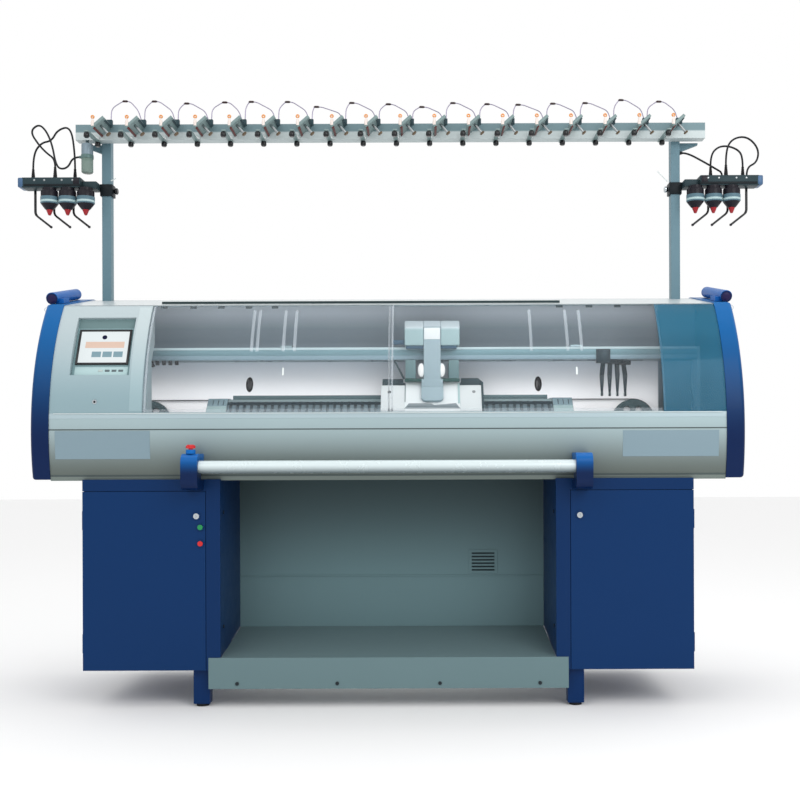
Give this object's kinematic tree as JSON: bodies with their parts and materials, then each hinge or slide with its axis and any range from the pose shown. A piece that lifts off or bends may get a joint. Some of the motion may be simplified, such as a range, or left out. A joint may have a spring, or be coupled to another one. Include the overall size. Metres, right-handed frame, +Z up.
{
  "type": "computerised flat knitting machine",
  "caption": "Floor-standing flat knitting machine with sliding clear hoods, V-shaped needle beds, a bridge carriage on rails and an overhead yarn stand.",
  "frame": {"origin": "centre of the footprint box on the floor", "axes": "+X to the right along the needle beds seen by the worker, +Y from the worker's side to the back, +Z up"},
  "size_m": [3.12, 0.899, 2.4458],
  "materials": {
    "blue_paint": "glossy sky-blue paint",
    "navy_paint": "satin navy paint",
    "grey_paint": "satin metallic grey paint",
    "light_grey_paint": "satin light grey paint",
    "stand_paint": "satin grey-green paint",
    "steel": "ground steel",
    "dark_steel": "dark steel",
    "chromed_tube": "polished",
    "white_plastic": "glossy white",
    "clear_sheet": "clear bent sheet",
    "tinted_sheet": "tinted bent sheet",
    "black_plastic": "matte black",
    "red_plastic": "glossy red",
    "green_plastic": "glossy green",
    "belt_rubber": "matte rubber",
    "lamp_plastic": "milky translucent"
  },
  "bodies": {
    "machine": {"back_panel": "grey_paint", "bar_brackets": "blue_paint", "bed_carrier": "steel", "control_housing": "grey_paint", "corner_tubes": "blue_paint", "drive_belt": "belt_rubber", "fabric_tray": "grey_paint", "feeder_brackets": "black_plastic", "feeder_units": "dark_steel", "frame_beams": "grey_paint", "front_needle_bed": "steel", "hood_tracks": "light_grey_paint", "inner_back_panel": "light_grey_paint", "left_arch_cable": "black_plastic", "left_cabinet": "navy_paint", "left_end_cap": "blue_paint", "left_lamp_cable": "black_plastic", "left_side_frame": "navy_paint", "left_yarn_post": "stand_paint", "levelling_pads": "dark_steel", "lower_front_cover": "grey_paint", "panel_screws": "dark_steel", "rear_cover": "grey_paint", "rear_needle_bed": "steel", "right_arch_cable": "black_plastic", "right_cabinet": "navy_paint", "right_end_cap": "blue_paint", "right_loop_cable": "black_plastic", "right_post_cable": "black_plastic", "right_side_frame": "navy_paint", "right_yarn_post": "stand_paint", "signal_lamp": "lamp_plastic", "tension_wires": "steel", "tinted_window": "tinted_sheet", "top_cover": "grey_paint", "touch_screen": "black_plastic", "yarn_beam": "light_grey_paint", "yarn_rails": "steel", "yarn_tension_units": "stand_paint"},
    "carriage": {"carriage_front_box": "white_plastic", "carriage_rear_box": "white_plastic", "carriage_bridge": "white_plastic"},
    "left_hood": {"left_sliding_hood": "clear_sheet"},
    "right_hood": {"right_sliding_hood": "clear_sheet"},
    "start_bar_body": {"start_bar": "chromed_tube"},
    "stop_button": {"emergency_stop_button": "red_plastic"},
    "power_on": {"power_on_button": "green_plastic"},
    "power_off": {"power_off_button": "red_plastic"},
    "left_door": {"left_cabinet_door": "navy_paint"},
    "right_door": {"right_cabinet_door": "navy_paint"},
    "left_lock": {"left_door_lock": "steel"},
    "right_lock": {"right_door_lock": "steel"},
    "front_roller": {"front_takedown_roller": "steel"},
    "rear_roller": {"rear_takedown_roller": "steel"},
    "carrier_1": {"yarn_carrier_1": "black_plastic"},
    "carrier_2": {"yarn_carrier_2": "black_plastic"},
    "carrier_3": {"yarn_carrier_3": "black_plastic"},
    "carrier_4": {"yarn_carrier_4": "black_plastic"},
    "left_pulley": {"left_drive_pulley": "dark_steel"},
    "right_pulley": {"right_drive_pulley": "dark_steel"}
  },
  "joints": [
    {"name": "carriage_slide", "type": "slide", "parent": "machine", "child": "carriage", "axis": [1, 0, 0], "range_m": [-1.16, 0.82]},
    {"name": "left_hood_slide", "type": "slide", "parent": "machine", "child": "left_hood", "axis": [1, 0, 0], "range_m": [0, 0.9]},
    {"name": "right_hood_slide", "type": "slide", "parent": "machine", "child": "right_hood", "axis": [1, 0, 0], "range_m": [-0.9, 0]},
    {"name": "start_bar_twist", "type": "hinge", "parent": "machine", "child": "start_bar_body", "pos_m": [0, -0.4145, 0.915], "axis": [1, 0, 0], "range_deg": [-15, 15], "stiffness_Nm_per_rad": 4},
    {"name": "stop_button_press", "type": "slide", "parent": "machine", "child": "stop_button", "axis": [0, 0, -1], "range_m": [0, 0.003], "stiffness_N_per_m": 900, "springref_m": -0.001},
    {"name": "power_on_press", "type": "slide", "parent": "left_door", "child": "power_on", "axis": [0, 1, 0], "range_m": [0, 0.004], "stiffness_N_per_m": 400, "springref_m": -0.001},
    {"name": "power_off_press", "type": "slide", "parent": "left_door", "child": "power_off", "axis": [0, 1, 0], "range_m": [0, 0.004], "stiffness_N_per_m": 400, "springref_m": -0.001},
    {"name": "left_door_swing", "type": "hinge", "parent": "machine", "child": "left_door", "pos_m": [-1.161, -0.3162, 0.48], "axis": [0, 0, 1], "range_deg": [-100, 0]},
    {"name": "right_door_swing", "type": "hinge", "parent": "machine", "child": "right_door", "pos_m": [1.161, -0.3162, 0.48], "axis": [0, 0, 1], "range_deg": [0, 100]},
    {"name": "left_lock_turn", "type": "hinge", "parent": "left_door", "child": "left_lock", "pos_m": [-0.728, -0.3345, 0.728], "axis": [0, 1, 0], "range_deg": [0, 90]},
    {"name": "right_lock_turn", "type": "hinge", "parent": "right_door", "child": "right_lock", "pos_m": [0.728, -0.3345, 0.728], "axis": [0, 1, 0], "range_deg": [0, 90]},
    {"name": "front_roller_spin", "type": "hinge", "parent": "machine", "child": "front_roller", "pos_m": [0, -0.055, 1], "axis": [1, 0, 0], "continuous": true},
    {"name": "rear_roller_spin", "type": "hinge", "parent": "machine", "child": "rear_roller", "pos_m": [0, -0.014, 1], "axis": [1, 0, 0], "continuous": true},
    {"name": "carrier_1_slide", "type": "slide", "parent": "machine", "child": "carrier_1", "axis": [1, 0, 0], "range_m": [-1.682, 0.346]},
    {"name": "carrier_2_slide", "type": "slide", "parent": "machine", "child": "carrier_2", "axis": [1, 0, 0], "range_m": [-1.715, 0.313]},
    {"name": "carrier_3_slide", "type": "slide", "parent": "machine", "child": "carrier_3", "axis": [1, 0, 0], "range_m": [-1.748, 0.28]},
    {"name": "carrier_4_slide", "type": "slide", "parent": "machine", "child": "carrier_4", "axis": [1, 0, 0], "range_m": [-1.781, 0.247]},
    {"name": "left_pulley_spin", "type": "hinge", "parent": "machine", "child": "left_pulley", "pos_m": [-1.02, 0.1155, 1.103], "axis": [0, 1, 0], "continuous": true},
    {"name": "right_pulley_spin", "type": "hinge", "parent": "machine", "child": "right_pulley", "pos_m": [1.02, 0.1155, 1.103], "axis": [0, 1, 0], "continuous": true}
  ],
  "couplings": [
    {"joint": "rear_roller_spin", "follows": "front_roller_spin", "ratio": -1},
    {"joint": "left_pulley_spin", "follows": "carriage_slide", "rad_per_m": 11.364},
    {"joint": "right_pulley_spin", "follows": "carriage_slide", "rad_per_m": 11.364}
  ]
}
